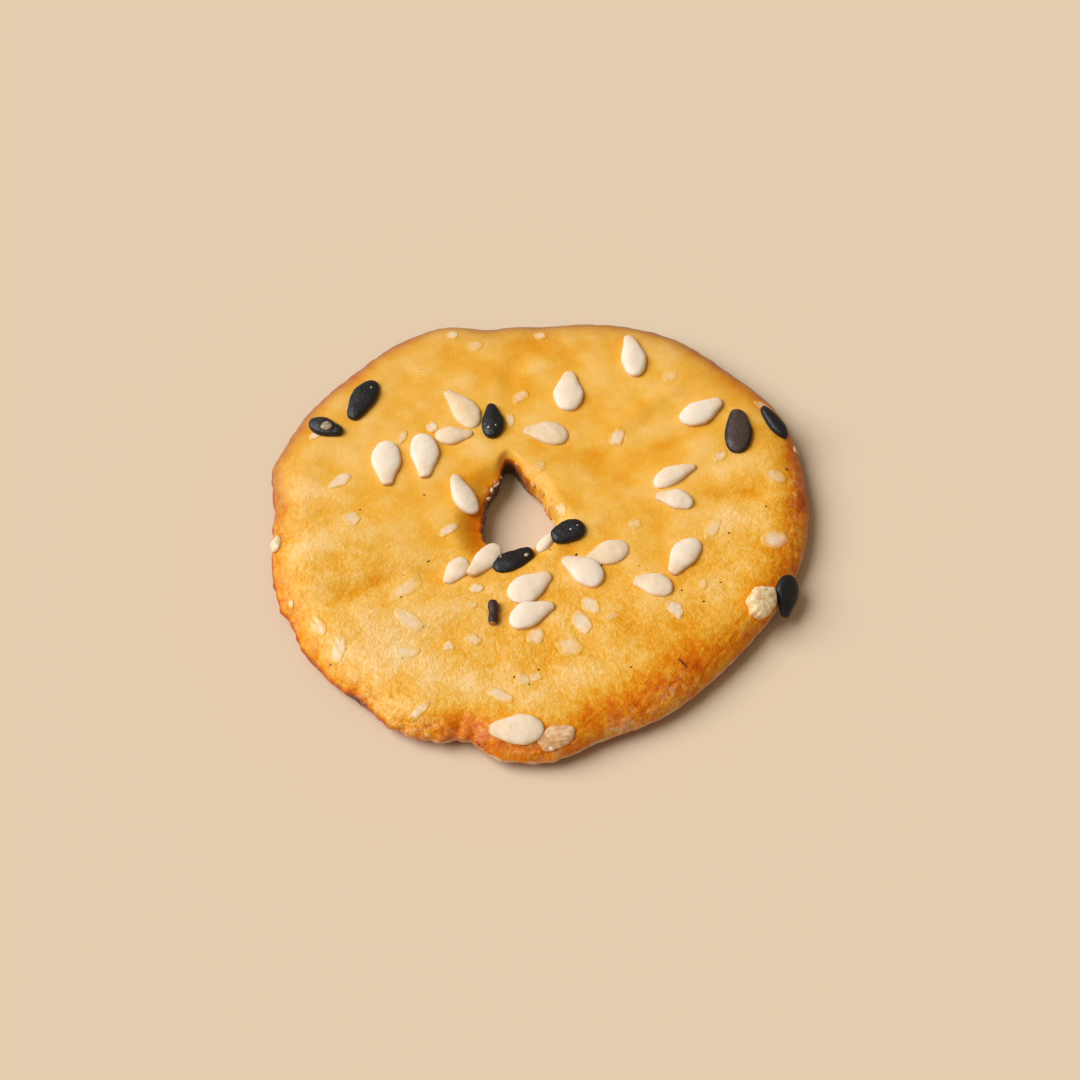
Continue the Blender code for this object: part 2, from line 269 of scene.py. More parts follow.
# %% Where the crust is craggy, and where it is dry
# Crags: x, y, heading, half-length, half-width, strength.
CRAGS = (
    (10.5, -14.4, 40, 1.9, 0.9, 1), (15.5, -9.2, 55, 1.5, 0.8, 0.25), (7.1, -17.1, 20, 2.2, 0.9, 0.9),
    (-8.9, -17.6, -15, 2.6, 1, 1), (-12.6, -14.8, -45, 3.4, 0.9, 0.7), (1, -19.3, 0, 4, 0.7, 0.7),
    (-4.8, -18.2, 0, 1.2, 0.8, 0.8), (-19.3, -6.5, -70, 3.5, 0.8, 0.5), (19.9, 3, 85, 4, 0.6, 0.6),
)
TORN, TORN_WIDTH = 0.7, 0.55


def cragginess(x, y):
    """0 to 1: the crag patches, and the torn dough that rings the back half of the hole."""
    _, from_hole, _, hole_angle = edge_distances(x, y)
    torn = TORN * towards(hole_angle, 90, 1.6, -0.3) * near(from_hole, TORN_WIDTH)
    return np.clip(patches(CRAGS, x, y) + torn, 0, 1)


def crispness(x, y):
    """0 at the smooth back of the ring and by its hole, 1 at the dry front and sides, with sharp wrinkles."""
    sides = 1.3 * np.maximum(x - 10, 0) + 0.8 * np.maximum(-x - 10, 0)
    return eased((5 - y + sides) / 17)


print(f"the left of the ring is {crispness(sample_x, sample_y).mean():.0%} dry")

# %% Relief of the crust
# Layers of waves or creases: height, wavelength, number of waves, seed.
BROAD = ((0.02, 4.2, 24, 11), (0.008, 2, 24, 12))
LEATHER = ((0.018, 1.9, 30, 14), (0.022, 1.1, 30, 18))


def relief(x, y):
    """Height of the wrinkles: broad waves, leathery creases, and sharp crags near the broken rim."""
    from_rim, from_hole, angle, _ = edge_distances(x, y)
    drawn = (0.004 + 0.014 * near(from_rim, 2.2)) * rim_waves(angle, from_rim, 0.7, 40, 15)
    leather = (0.2 + 0.8 * crispness(x, y)) * (drawn - layered(creases, LEATHER, x, y))
    sharp = 0.018 * waves(x, y, 0.8, 40, 16) + 0.05 * creases(x, y, 1.7, 30, 17) - 0.02
    sharp = cragginess(x, y) * (sharp + 0.02 * near(from_hole, 1) * waves(x, y, 0.45, 40, 19))
    fade = eased(from_rim / 0.5) * eased((from_hole - 0.1) / 0.5)
    return fade * (layered(waves, BROAD, x, y) + leather + sharp)


print(f"the wrinkles are {np.ptp(relief(sample_x, sample_y)):.2f} mm from valley to peak")

# %% [markdown]
# ## The dough as one grid
#
# The ring is a bent tube, so a grid of angle by way round the section covers it with no seam and no
# pole. Steps crowd towards the rim and the lip, where the surface turns fast. What stands proud or lies
# near the rim browns first, so a vertex also keeps a few numbers for the shader to read.

# %% Points and faces into a piece


def grid_faces(rows, columns):
    """Quads (r, c), (r, c + 1), (r + 1, c + 1), (r + 1, c) for a grid that closes on itself both ways."""
    r, c = np.arange(rows)[:, None], np.arange(columns)[None, :]
    ahead, beside = (r + 1) % rows, (c + 1) % columns
    corners = [r * columns + c, r * columns + beside, ahead * columns + beside, ahead * columns + c]
    return np.stack(np.broadcast_arrays(*corners), -1).reshape(-1, 4)


def add_object(name, data):
    """An object that shows a mesh, light or camera."""
    made = bpy.data.objects.new(name, data)
    bpy.context.scene.collection.objects.link(made)
    return made


def make_piece(name, points, faces, fields=None):
    """A smooth mesh object from points in mm and faces, with a number a vertex for each named field."""
    mesh = bpy.data.meshes.new(name)
    mesh.vertices.add(len(points))
    mesh.vertices.foreach_set("co", (points * MM).astype(np.float32).ravel())
    size = faces.shape[1]
    mesh.loops.add(faces.size)
    mesh.loops.foreach_set("vertex_index", faces.astype(np.int32).ravel())
    mesh.polygons.add(len(faces))
    mesh.polygons.foreach_set("loop_start", np.arange(0, faces.size, size, dtype=np.int32))
    mesh.polygons.foreach_set("use_smooth", np.full(len(faces), True))
    mesh.update(calc_edges=True)
    for field, values in (fields or {}).items():
        layer = mesh.attributes.new(field, "FLOAT", "POINT")
        layer.data.foreach_set("value", np.asarray(values, np.float32).ravel())
    mesh.validate()
    print(f"{name}: {len(points)} points, {len(faces)} faces")
    return add_object(name, mesh)


# %% Grid of the dough
STEPS_ROUND, STEPS_TOP, STEPS_UNDER = 720, 106, 28
BOTH_ENDS, RIM_CROWDING = 0.55, 1.5


def crowded(count):
    """Steps from 0 to 1 that crowd at both ends: (1 - cos(pi * step / count)) / 2."""
    return 0.5 - 0.5 * np.cos(np.pi * np.arange(count + 1) / count)


degrees = (np.arange(STEPS_ROUND) * 360 / STEPS_ROUND)[:, None]
even = np.arange(STEPS_TOP + 1) / STEPS_TOP
to_rim = BOTH_ENDS * crowded(STEPS_TOP) + (1 - BOTH_ENDS) * (1 - (1 - even) ** RIM_CROWDING)
share = np.concatenate([to_rim, crowded(STEPS_UNDER)[-2:0:-1]])[None, :]
is_top = np.arange(share.size)[None, :] <= STEPS_TOP
outward = np.stack([np.cos(np.radians(degrees)), np.sin(np.radians(degrees))], -1)
hole_edge = np.array(HOLE_CENTRE) + hole_radius(degrees)[..., None] * outward
rim_edge = rim_radius(degrees)[..., None] * outward
plan = hole_edge + share[..., None] * (rim_edge - hole_edge)
plan_x, plan_y = plan[..., 0], plan[..., 1]
print(f"a step along the rim is about {2 * math.pi * 20 / STEPS_ROUND:.2f} mm")

# %% [markdown]
# ## What the oven did, and painted shade
#
# Browning has a few causes. The thin rim browns most where the tray was hottest, in front and on the
# right. The slope into the hole is darker on its left side, partly browning and partly painted shade, as
# that side faces away from the light; its back corner and a thin line along its left edge are painted
# shade. Patches of the top are deeper gold, and others stayed pale where a blister kept the dough off the
# heat; three small dark patches are painted shadow. One number, the tone, gathers them: 0 is pale dough,
# 0.4 is gold and 1 is dark brown.

# %% Tone of the dough
GOLD = 0.36
# Browning of the rim and how far in it reaches in mm, every 15 degrees from the right of the ring.
RIM_BROWN = np.array([
    0.37, 0.35, 0.29, 0.26, 0.22, 0.18, 0.14, 0.12, 0.2, 0.27, 0.24, 0.17,
    0.19, 0.17, 0.18, 0.21, 0.1, 0.41, 0.32, 0.29, 0.28, 0.29, 0.29, 0.33,
])
RIM_BROWN_WIDTH = np.array([
    2.1, 1.6, 1.2, 1.1, 1.1, 1, 1, 1, 1.1, 1.5, 1.3, 1,
    0.9, 0.9, 1.1, 1.1, 1.1, 1.9, 2.1, 2.7, 3.6, 3.7, 3, 2.4,
])
# Browner and paler patches: x, y, heading, half-length, half-width, tone. Three are painted shade: the
# husk's shadow at (3, -18.75), and the shade under the rim's nicks at (-5.2, -18.95) and (-13.6, -14.9).
TONE_PATCHES = (
    (5.5, 5.6, -20, 4.5, 2.2, 0.07), (-2, 14.5, 85, 3, 1.6, 0.12), (0.8, 16.5, 0, 2.5, 1.2, 0.08),
    (-16, 1.6, -9, 4.5, 0.55, 0.06), (-8.6, -1.8, 0, 3, 2, -0.05), (-13.4, -5.6, 30, 2.8, 0.65, 0.09),
    (-9.3, -4.1, 12, 3.5, 0.8, 0.06), (15, 2.8, 5, 4.5, 0.45, 0.07), (9.4, 7.2, 24, 2.2, 0.5, 0.07),
    (20.1, 4.2, 90, 0.8, 0.45, 0.22), (20.4, 2.4, 90, 1.2, 0.6, 0.16), (-3.9, 15.1, 0, 0.9, 0.9, -0.07),
    (-0.4, 14.2, 0, 1.2, 1.1, -0.06), (-19.8, -2.6, 85, 3.6, 0.8, 0.07), (3, -18.75, 20, 0.8, 0.5, 0.14),
    (5.5, -6.5, 0, 2.5, 1.4, -0.05), (-10.3, -11.6, 0, 2.5, 1.6, -0.06), (-5.2, -18.95, -20, 0.9, 0.35, 0.6),
    (-13.6, -14.9, -40, 0.7, 0.3, 0.6), (-8.6, -17.2, -10, 3, 0.9, 0.09), (-3.8, -18.5, -15, 2.6, 0.8, 0.1),
    (3.9, 1.9, -70, 1.3, 0.6, -0.09), (-4.8, -0.6, 75, 3, 1.6, 0.1), (6, -16, 25, 5, 1.2, 0.1),
    (15.5, 13.2, -45, 4.5, 1, 0.09), (-11.6, -10.4, 35, 6.5, 3.4, -0.15), (-5.5, -14.4, -10, 4.5, 1.8, -0.14),
    (-16.5, -2, 5, 3.2, 1.7, -0.12), (-14.5, 6.2, 30, 3, 1.6, -0.08), (-12.6, 12.3, 30, 3.2, 1, -0.04),
    (3.5, -13.8, 10, 4, 1.6, -0.11), (-17.3, 1.5, 0, 3, 3.5, -0.06), (9.5, 8.6, 38, 3, 0.9, -0.03),
    (13, 4.6, 20, 3.5, 1.1, -0.1), (15, 0.4, 5, 3.4, 1.6, -0.11), (14, -7.6, 60, 3, 1.8, -0.13),
    (8.8, 15, -15, 3, 1.2, -0.06), (-3.2, 6.6, 10, 3, 1, -0.04),
)
MOTTLE = ((0.012, 3.8, 24, 21), (0.008, 1.6, 24, 22))
BROKEN_RIM = (-55, 2, 0.4)
LEFT_OF_HOLE, CORNER_OF_HOLE = 190, 108


def dough_tone(x, y):
    """Gold + rim browning * near(inward, width, 2.2) + darkening round the hole + bare edges + patches.

    The darkening round the hole is partly browning and partly painted shade: its left slope turns from
    the light and its back corner lies under the lip. A bare edge is browner than its surroundings where the
    rim is whole, and paler where it broke; along the left edge of the hole it is a painted shade line.
    """
    from_rim, from_hole, angle, hole_angle = edge_distances(x, y)
    inward, away = np.maximum(from_rim, 0), np.maximum(from_hole, 0)
    uneven = 1 + 0.14 * rim_waves(angle, 0.4 * from_rim, 2.4, 24, 23)
    rim = at_angle(RIM_BROWN, angle) * near(inward, at_angle(RIM_BROWN_WIDTH, angle), 2.2) * uneven
    # Darker towards the left of the hole: partly browning, partly painted shade on the slope turned from the
    # light.
    left = 0.5 + 0.5 * np.cos(np.radians(hole_angle - LEFT_OF_HOLE))
    slope = (0.02 + 0.2 * left) * near(away, 0.8 + 1.2 * left)
    # Painted shade: the back corner of the hole, where the wall lies under the lip.
    corner = 0.6 * near(hole_angle - CORNER_OF_HOLE, 24) * near(away, 0.35)
    broken = towards(angle, *BROKEN_RIM)
    # The second term is a painted shade line along the left edge of the hole.
    edge = 0.36 * (1 - broken) * near(from_rim, 0.11) + 0.36 * left * near(from_hole, 0.16)
    edge = edge - 0.09 * broken * near(from_rim, 0.9)
    spots = patches(TONE_PATCHES, x, y) + layered(waves, MOTTLE, x, y)
    return GOLD + rim + slope + corner + edge + spots


print(f"the tone on the left of the hole is {dough_tone(-5.2, 0.9):.2f}")

# %% [markdown]
# ## Ragged edges, and what the shader is told
#
# The rim and the lip of the hole broke as they baked, so small waves shove both out and in. The crust
# there looks different too: the broken front edge is a pale line, and a thin line on the left is plum
# brown. The far rim is painted plum for the reflection it shows seen edge on, and the wall of the hole is
# painted dark for the shade it lies in. Each of these is one more number on the vertices.

# %% Shape of the dough
# Rough radii, which turn an angle into a length along the edge.
RIM_ROUND, HOLE_ROUND = 20, 3


def rag(along, up, seed):
    """Ragged broken edge in mm: two scales of waves along it and up it."""
    return layered(waves, ((0.045, 1.6, 16, seed), (0.025, 0.6, 16, seed + 1)), along, up)


from_rim, from_hole, angle, hole_angle = edge_distances(plan_x, plan_y)
along_rim, along_hole = np.radians(angle) * RIM_ROUND, np.radians(hole_angle) * HOLE_ROUND
wrinkle = relief(plan_x, plan_y)
under_fade = eased(from_rim / 1.2) * eased(from_hole / 0.8)
under_wrinkle = 0.03 * (waves(plan_x, plan_y, 1.2, 30, 31) - 1.5) * under_fade
height = np.where(is_top, top_height(plan_x, plan_y) + wrinkle,
                  np.maximum(under_height(plan_x, plan_y) - under_wrinkle, 0))
crag = cragginess(plan_x, plan_y)
rough_rim = 0.35 + 0.25 * crag + 0.45 * towards(angle, 210, 1.5)
shove = rag(along_rim, 0.5 * height, 41) * rough_rim * near(from_rim, 0.8)
shove = shove - rag(along_hole, 1.2 * height, 43) * near(from_hole, 0.6)
shove = shove - 0.03 * waves(along_hole, height, 0.4, 24, 48) * near(from_hole, 0.35)
points = np.concatenate([plan + shove[..., None] * outward, height[..., None]], -1)
print(f"the broken edges are shoved by up to {np.abs(shove).max():.2f} mm")

# %% Numbers on the dough's vertices
# The wall of the hole is painted darker on its shaded back and left, and a little lighter on its right:
# painted shade.
under_hole_shade = 0.5 * towards(hole_angle, 150, 1.5) - 0.12
under_tone = 0.74 + 0.18 * near(from_rim, 1.5) + under_hole_shade * near(from_hole, 1)
# Peaks of the wrinkles are painted paler and their furrows darker: painted highlight and shade on the relief.
tone = np.where(is_top, dough_tone(plan_x, plan_y) - 1.5 * wrinkle, under_tone)
broken = towards(angle, *BROKEN_RIM)
uneven = 0.7 + 0.3 * waves(along_rim, 0 * angle, 1.4, 16, 45)
line = np.clip(broken * uneven * near(from_rim, np.where(is_top, 0.022, 0.09)), 0, 1)
pale_crust = patches(((6.3, -17.4, 20, 1.1, 0.35, 1),), plan_x, plan_y) * is_top
line = line + pale_crust * (0.4 + 0.4 * waves(plan_x, plan_y, 0.5, 30, 47))
# Plum on the far rim is painted reflection of the rim seen edge on. On the left, a faint plum wash dulls the
# rim, and a thin plum line marks its edge.
far_rim = np.clip(np.cos(np.radians(angle - 105)) * 1.3, 0, 1)
left_rim = (1 - broken) * (1 - towards(angle, 10, 1.6, 0.3))
plum = far_rim * (0.65 * near(from_rim, 0.8) + 0.25 * near(from_rim, 2.4))
plum = plum + left_rim * (0.04 * near(from_rim, 1.2) + 0.4 * uneven * near(from_rim, 0.13))
# Painted shade on the hole's shaded back and left: a dark lip on top and a dark wall below.
shaded_side = towards(hole_angle, 150, 1.6)
shares = {
    "crag": crag * np.where(is_top, 1, near(from_hole, 0.3)),
    "plum": plum * np.where(is_top, 1, 0.4),
    "crisp": crispness(plan_x, plan_y),
    "line": line,
    "baked": 2.4 * at_angle(RIM_BROWN, angle) * near(from_rim, 1.7) * is_top,
    "hole_shade": np.where(is_top, shaded_side * near(from_hole, 0.13), (0.4 + 0.5 * shaded_side) * near(from_hole, 0.9)),
}
shares = {name: np.clip(values, 0, 1) for name, values in shares.items()}
faces = grid_faces(STEPS_ROUND, share.size)
dough = make_piece("cracker_dough", points.reshape(-1, 3), faces, {"tone": tone, **shares})
print(f"the tone runs from {tone.min():.2f} to {tone.max():.2f}")

# %% [markdown]
# ## Writing a shader as arithmetic
#
# A shader is a sum of textures and numbers. Joining its nodes one by one hides that, so one small class
# wraps a socket and lets + - * / and ** make the Math nodes. Any other node comes from one method.

# %% A socket that can be added and multiplied


def linear(screen):
    """Screen colour 0 to 255 as linear light, ((c + 0.055) / 1.055)^2.4, and alpha 1."""
    share = np.array(screen, float) / 255
    light = np.where(share > 0.04045, ((share + 0.055) / 1.055) ** 2.4, share / 12.92)
    return (*light.tolist(), 1)


class Field:
    """A shader output. Its operators join Math nodes, in either order with a plain number."""

    def __init__(self, shader, socket):
        self.shader, self.socket = shader, socket

    def math(self, operation, *others, first=None):
        """Math node on this field and the others, or on a first number and this field."""
        values = [self, *others] if first is None else [first, self]
        return self.shader.node("ShaderNodeMath", "Value", {"operation": operation}, dict(enumerate(values)))

    def crest(self, sharpness):
        """Thin lines where a noise passes its middle: (1 - |2 n - 1|)^sharpness."""
        return (1 - (self * 2 - 1).math("ABSOLUTE")) ** sharpness

    def within(self, low, high):
        """0 below low, 1 above high, and a smooth rise between them."""
        sockets = {"Value": self, "From Min": low, "From Max": high}
        return self.shader.node("ShaderNodeMapRange", "Result", {"interpolation_type": "SMOOTHSTEP"}, sockets)


SIGNS = {"add": "ADD", "sub": "SUBTRACT", "mul": "MULTIPLY", "truediv": "DIVIDE", "pow": "POWER"}
for sign, kind in SIGNS.items():
    setattr(Field, f"__{sign}__", lambda self, other, kind=kind: self.math(kind, other))
    setattr(Field, f"__r{sign}__", lambda self, other, kind=kind: self.math(kind, first=other))


class Shader:
    """One material, made of nodes round its principled shader."""

    def __init__(self, name, stretch=(1, 1, 1), **constants):
        self.stretch, self.material = stretch, bpy.data.materials.new(name)
        self.material.use_nodes = True
        self.nodes = self.material.node_tree.nodes
        self.principled = self.nodes["Principled BSDF"]
        self.join(self.principled, constants)

    def join(self, node, sockets):
        """Puts a value or a Field into each named socket. In a name, _ stands for a blank."""
        for name, value in sockets.items():
            socket = node.inputs[name.replace("_", " ") if isinstance(name, str) else name]
            if isinstance(value, Field):
                self.material.node_tree.links.new(value.socket, socket)
            else:
                socket.default_value = value

    def node(self, kind, output, settings=None, sockets=None):
        """Named output of any node, from its type, its settings and its sockets."""
        made = self.nodes.new(kind)
        for setting, value in (settings or {}).items():
            setattr(made, setting, value)
        self.join(made, sockets or {})
        return Field(self, made.outputs[output])

    def attribute(self, name):
        """The number of that name on each vertex."""
        return self.node("ShaderNodeAttribute", "Fac", {"attribute_name": name})

    @cached_property
    def place(self):
        """Object coordinates in mm, stretched by a factor along each axis. They are made once."""
        sockets = {0: self.node("ShaderNodeTexCoord", "Object"), 1: [factor / MM for factor in self.stretch]}
        return self.node("ShaderNodeVectorMath", "Vector", {"operation": "MULTIPLY"}, sockets)

    def noise(self, size, detail=2, warp=0, output="Fac"):
        """Noise whose features are about `size` mm wide."""
        sockets = {"Vector": self.place, "Scale": 1 / size, "Detail": detail, "Distortion": warp}
        return self.node("ShaderNodeTexNoise", output, None, sockets)

    def bent(self, size, push):
        """The place, pushed about by noise of the size, by up to `push` mm."""
        sockets = {0: self.noise(size, output="Color"), 1: (push, push, push), 2: self.place}
        return self.node("ShaderNodeVectorMath", "Vector", {"operation": "MULTIPLY_ADD"}, sockets)

    def cells(self, place, size):
        """Distance in from the edge of the cell that holds the place, in cells about `size` mm wide."""
        sockets = {"Vector": place, "Scale": 1 / size}
        return self.node("ShaderNodeTexVoronoi", "Distance", {"feature": "DISTANCE_TO_EDGE"}, sockets)

    def mix(self, share, first, screen):
        """Colour that goes from the first to a screen colour as share goes from 0 to 1."""
        sockets = {"Factor": share, 6: first, 7: linear(screen)}
        return self.node("ShaderNodeMix", 2, {"data_type": "RGBA"}, sockets)

    def ramp(self, share, stops):
        """Colour read off a ramp of (place, screen colour) stops."""
        colour = self.node("ShaderNodeValToRGB", "Color", None, {"Fac": share})
        elements = colour.socket.node.color_ramp.elements
        while len(elements) < len(stops):
            elements.new(0.5)
        for element, (place, screen) in zip(elements, stops):
            element.position, element.color = place, linear(screen)
        return colour

    def bump(self, height, strength, distance):
        """Normal of a height in units of `distance` mm."""
        sockets = {"Height": height, "Strength": strength, "Distance": distance * MM}
        return self.node("ShaderNodeBump", "Normal", None, sockets)

    def paint(self, piece, **sockets):
        """Joins the shader's own sockets and gives the material to the piece."""
        self.join(self.principled, sockets)
        piece.data.materials.append(self.material)
        print(f"{self.material.name}: {len(self.nodes)} nodes")


print(f"a screen grey of 128 is {linear((128, 128, 128))[0]:.3f} in linear light")

# %% [markdown]
# ## The crust's finish
#
# The tone picks a colour from pale dough to dark brown. Soft noise breaks it up a little, as flour and
# fat do, and also paints pale highlight washes and darker shaded creases. The plum, pale and hole-shade
# shares are mixed over it, one after the other: plum is painted reflection on the far rim, and the hole
# shade is painted shade on the wall of the hole. Where the crust cracked in front, pale blisters show,
# with painted glints along the cracks. The glaze leaves a satin sheen.

# %% Baked dough
CRUST_STOPS = (
    (0, (255, 221, 164)), (0.13, (252, 206, 133)), (0.24, (247, 191, 97)), (0.33, (241, 176, 61)),
    (0.44, (234, 153, 22)), (0.55, (226, 121, 0)), (0.68, (207, 95, 0)), (0.82, (156, 66, 2)),
    (1, (74, 36, 14)),
)
TONE_SPAN = 1.2
PLUM, BLISTER_AND_GLINT, PALE_EDGE, HOLE_SHADE = (150, 98, 78), (255, 206, 146), (222, 188, 148), (76, 60, 46)
crust = Shader("baked_crust", IOR=1.45, Specular_IOR_Level=0.2, Coat_Weight=0.06, Coat_Roughness=0.22)
blotch = crust.noise(1.5, 3, 0.6)
pale_wash_and_highlight = crust.noise(0.9, 4, 1.2).within(0.38, 0.62)
ripple = crust.noise(0.42, 2, 1.4)
speck = crust.noise(0.2, 2, 0.5)
grain = crust.noise(0.09, 1)
crackle = crust.noise(0.8, 3, 1.8).crest(9) * crust.noise(0.9, 2).within(0.42, 0.6)
dry = crust.attribute("crisp") * 0.72 + 0.28
crag = crust.attribute("crag")
leather = crust.cells(crust.bent(0.6, 0.9), 0.5).within(0, 0.26)
# The pale wash is partly pale dough and partly painted highlight; the leather cells' edges paint darker
# creases, partly painted shade.
fine = (speck - 0.5) * 0.15 + (grain - 0.5) * 0.09 + (ripple - 0.5) * 0.09
fine = fine + (pale_wash_and_highlight - 0.5) * 0.1 + (leather - 0.7) * 0.055
crumbly = ((ripple - 0.5) * 0.35 + (speck - 0.5) * 0.3) * crag
baked = crust.attribute("baked")
scorch = crust.noise(0.6, 3, 0.8).within(0.52, 0.72) * baked
blister = crust.noise(0.28, 2, 0.6).within(0.58, 0.7) * baked
brown = crust.attribute("tone") + (blotch - 0.5) * 0.05 - fine * dry - crumbly + scorch * 0.09
crust_colour = crust.ramp(brown / TONE_SPAN, CRUST_STOPS)
# The plum share is painted reflection on the far rim, a faint dulling on the left rim, and a thin edge line.
crust_colour = crust.mix(crust.attribute("plum"), crust_colour, PLUM)
# Painted glints along the crackle lines of the crags, and pale blister spots on the browned rim.
crust_colour = crust.mix(crackle * crag * 0.7 + blister * 0.08, crust_colour, BLISTER_AND_GLINT)
crust_colour = crust.mix(crust.attribute("line"), crust_colour, PALE_EDGE)
# The last mix paints the wall and lip of the hole's shaded side dark: painted shade.
crust.paint(
    dough,
    Base_Color=crust.mix(crust.attribute("hole_shade"), crust_colour, HOLE_SHADE),
    Roughness=0.4 + (blotch - 0.5) * 0.2,
    Normal=crust.bump((speck * 0.7 + ripple * 1.2 + leather * 0.36) * dry + crackle * crag * 1.2, 0.6, 0.07),
)

# %% [markdown]
# ## Bodies to scatter
#
# Everything on the dough is a stack of closed rings with a point at each end. A sesame seed is stacked
# from its blunt end to its pointed one, a flake of salt from the middle of its face over its edge and back
# below, and a crumb from pole to pole. Each one varies a little, because no two real ones match.

# %% Rings into closed bodies
SIDES = 36


def closed_body(rings, first, last):
    """Quads between rings and a fan to a point at each end, turned outward if the volume is negative."""
    steps, sides = rings.shape[:2]
    points = np.concatenate([rings.reshape(-1, 3), [first], [last]])
    quads = grid_faces(steps, sides)[:-sides]
    ring = np.arange(sides)
    beside = (ring + 1) % sides
    below, above = np.full(sides, steps * sides), np.full(sides, steps * sides + 1)
    top = (steps - 1) * sides
    triangles = np.concatenate([
        quads[:, [0, 1, 2]], quads[:, [0, 2, 3]],
        np.stack([below, beside, ring], -1), np.stack([above, top + ring, top + beside], -1),
    ])
    volume = np.linalg.det(points[triangles]).sum()
    return points, triangles if volume > 0 else triangles[:, ::-1]


print("each ring of a body has", SIDES, "points")

# %% A sesame seed
SEED_STEPS = 30


def seed_body(length, width, thickness, draw, point=0.4, power=0.42, waist=0, dents=0.012):
    """Half-width (1 - s^2)^(power - 0.12 t) * (1 - point * t), for s from -1, the blunt end, to 1, the tip.

    The taper t is the smooth step of (s + 0.3) / 1.2.
    """
    around = 2 * math.pi * np.arange(SIDES) / SIDES
    s = -np.cos(math.pi * (np.arange(SEED_STEPS) + 0.5) / SEED_STEPS)[:, None]
    taper = eased((s + 0.3) / 1.2)
    narrowing = (point + draw.uniform(-0.07, 0.07)) * taper
    swell = (1 - s**2) ** (power - 0.12 * taper) * (1 - narrowing) * (1 - waist * near(s, 0.35))
    swell = swell / swell.max()
    lean = draw.uniform(-0.09, 0.09) * (s**2 - 0.3)
    y = (swell * np.cos(around) / 2 + lean) * width
    z = swell**0.65 * np.sign(np.sin(around)) * np.abs(np.sin(around)) ** 0.72 * thickness / 2
    x = s * length / 2 + 0 * y
    shift = draw.uniform(0, 50)
    dent = dents * (waves(x + shift, y + 2 * z, 1.6, 14, 51) + 0.5 * waves(x + shift, y - z, 0.6, 14, 52))
    z = z + dent * thickness * (np.sin(around) > 0)
    rings = np.stack([x, y * (1 + dent), z], -1)
    ends = [[end * length / 2, float(lean[row, 0]) * width, 0] for end, row in ((-1, 0), (1, -1))]
    points, triangles = closed_body(rings, *ends)
    along = np.append(np.repeat(s.ravel(), SIDES), [-1, 1])
    return points, triangles, along, np.append((np.abs(np.cos(around)) + 0 * s).ravel(), [1, 1])


one_seed = seed_body(3.8, 2.2, 0.95, np.random.default_rng(1))[0]
print("a seed body measures", np.round(np.ptp(one_seed, axis=0), 2).tolist(), "mm")

# %% A flake and a lump
FLAKE_CORNERS, CORNER_SHARPNESS = 6, 9
LUMP_STEPS, LUMP_FACETS, FACET_SHARPNESS, LUMP_LIMIT = 22, 14, 12, 1.08


def corner_radius(turn, draw):
    """Rounded polygon: (sum of (max(cos(turn - side), 0) / distance)^p)^(-1/p) over its sides."""
    sides = (np.arange(FLAKE_CORNERS) + draw.uniform(-0.3, 0.3, FLAKE_CORNERS)) * 2 * math.pi / FLAKE_CORNERS
    distances = draw.uniform(0.82, 1, FLAKE_CORNERS)
    facing = np.maximum(np.cos(turn[:, None] - sides), 0) / distances
    return (facing**CORNER_SHARPNESS).sum(-1) ** (-1 / CORNER_SHARPNESS)


def flake_body(length, width, thickness, draw, crumbly=0.02, dents=0.05, steps=12, sides=SIDES):
    """Plate: radius over a rounded polygon with a crumbly edge, and a face that rounds over at the edge."""
    turn = 2 * math.pi * np.arange(sides) / sides
    fall = np.linspace(0.06, 0.94, steps)[:, None] * math.pi
    reach = np.sin(fall) ** 0.55
    edge = corner_radius(turn, draw)
    edge = edge * (1 + crumbly * waves(np.cos(turn) + draw.uniform(0, 50), np.sin(turn), 0.6, 16, 56))
    radius = reach * edge
    x, y = radius * np.cos(turn) * length / 2, radius * np.sin(turn) * width / 2
    z = np.sign(np.cos(fall)) * np.abs(np.cos(fall)) ** 0.5 * thickness / 2 + 0 * x
    z = z + dents * thickness * waves(x + draw.uniform(0, 50), y, 0.8, 12, 53) * (z > 0)
    points, triangles = closed_body(np.stack([x, y, z], -1), [0, 0, thickness / 2], [0, 0, -thickness / 2])
    reach = np.append(np.repeat(reach.ravel(), sides), [0, 0])
    return points, triangles, reach, reach


def lump_body(length, width, thickness, draw, roughness=0.1):
    """Crumb: a ball stretched three ways, with facets, times 1 + roughness * two scales of waves."""
    turn = 2 * math.pi * np.arange(SIDES) / SIDES
    fall = ((np.arange(LUMP_STEPS) + 0.5) / LUMP_STEPS * math.pi)[:, None]
    way = np.sin(fall) * np.cos(turn), np.sin(fall) * np.sin(turn), np.cos(fall)
    way = np.stack(np.broadcast_arrays(*way), -1)
    facets = draw.normal(0, 1, (LUMP_FACETS, 3))
    facets /= np.linalg.norm(facets, axis=1, keepdims=True)
    facing = np.maximum(way @ facets.T, 0) / draw.uniform(0.85, 1, LUMP_FACETS)
    radius = ((facing**FACET_SHARPNESS).sum(-1) + LUMP_LIMIT**-FACET_SHARPNESS) ** (-1 / FACET_SHARPNESS)
    shift = draw.uniform(0, 50)
    east, north, up = way[..., 0] * 2, way[..., 1] * 2, way[..., 2]
    radius = radius * (1 + roughness * waves(east + shift, north + up * 3, 1.6, 18, 54))
    radius = radius * (1 + 0.5 * roughness * waves(east - up, north + shift, 0.5, 18, 55))
    size = np.array([length, width, thickness]) / 2
    ends = [[0, 0, end * size[2] * radius[row].mean()] for end, row in ((1, 0), (-1, -1))]
    points, triangles = closed_body(way * radius[..., None] * size, *ends)
    height = np.append(np.repeat(np.cos(fall).ravel(), SIDES), [1, -1])
    return points, triangles, height, 1 - np.abs(height)


